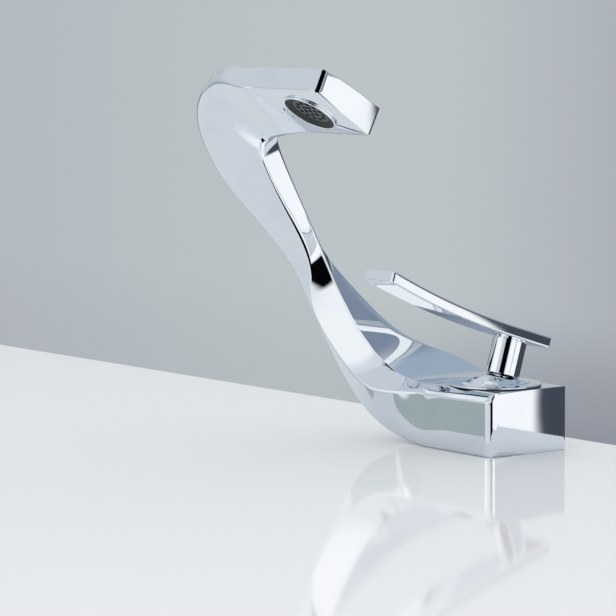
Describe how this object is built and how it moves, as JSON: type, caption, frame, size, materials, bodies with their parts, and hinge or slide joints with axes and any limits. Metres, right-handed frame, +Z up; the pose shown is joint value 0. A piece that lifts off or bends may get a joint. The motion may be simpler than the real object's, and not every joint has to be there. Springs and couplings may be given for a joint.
{
  "type": "single-lever basin faucet",
  "caption": "Single-lever deck basin faucet: square base block, twisted C-shaped spout arm with a round aerated outlet, and a lever on a domed cap that tilts and turns.",
  "frame": {"origin": "on the deck, under the middle of the square base block", "axes": "+Z up, -Y towards the basin, +X to the user's right; the spout arm bends out to the user's left"},
  "size_m": [0.1187, 0.1624, 0.255],
  "materials": {
    "chrome": "mirror-polished plating",
    "brass": "machined",
    "stainless_steel": "machined",
    "ceramic": "lapped alumina ceramic",
    "grey_plastic": "moulded acetal",
    "white_plastic": "moulded",
    "black_rubber": "moulded"
  },
  "bodies": {
    "base": {"spout_body": "chrome", "aerator_housing": "chrome", "aerator_insert": "white_plastic", "aerator_screen": "stainless_steel", "aerator_washer": "black_rubber", "cartridge_base": "grey_plastic", "cartridge_seals": "black_rubber", "cartridge_housing": "grey_plastic", "fixed_disc": "ceramic", "retaining_nut": "brass", "dome_cap": "chrome", "cap_seal": "black_rubber", "mounting_shank": "brass", "base_gasket": "black_rubber", "clamp_gasket": "black_rubber", "clamp_washer": "stainless_steel", "lock_nut": "brass"},
    "turner": {"cartridge_rotor": "brass", "pivot_pin": "stainless_steel"},
    "slider": {"moving_disc": "ceramic", "disc_carrier": "grey_plastic"},
    "handle": {"spindle": "brass", "dome_shield": "chrome", "handle_stem": "chrome", "handle_lever": "chrome", "lever_stud": "stainless_steel", "grub_screw": "stainless_steel", "screw_plug": "chrome"}
  },
  "joints": [
    {"name": "handle_turn", "type": "hinge", "parent": "base", "child": "turner", "pos_m": [0, 0, 0.022], "axis": [0, 0, 1], "range_deg": [-35, 35]},
    {"name": "handle_lift", "type": "hinge", "parent": "turner", "child": "handle", "pos_m": [0, 0, 0.022], "axis": [-1, 0, 0], "range_deg": [-17, 4]},
    {"name": "disc_slide", "type": "slide", "parent": "turner", "child": "slider", "axis": [0, -1, 0], "range_m": [-0.0022, 0.0006]}
  ],
  "couplings": [
    {"joint": "disc_slide", "follows": "handle_lift", "m_per_rad": 0.0069}
  ]
}
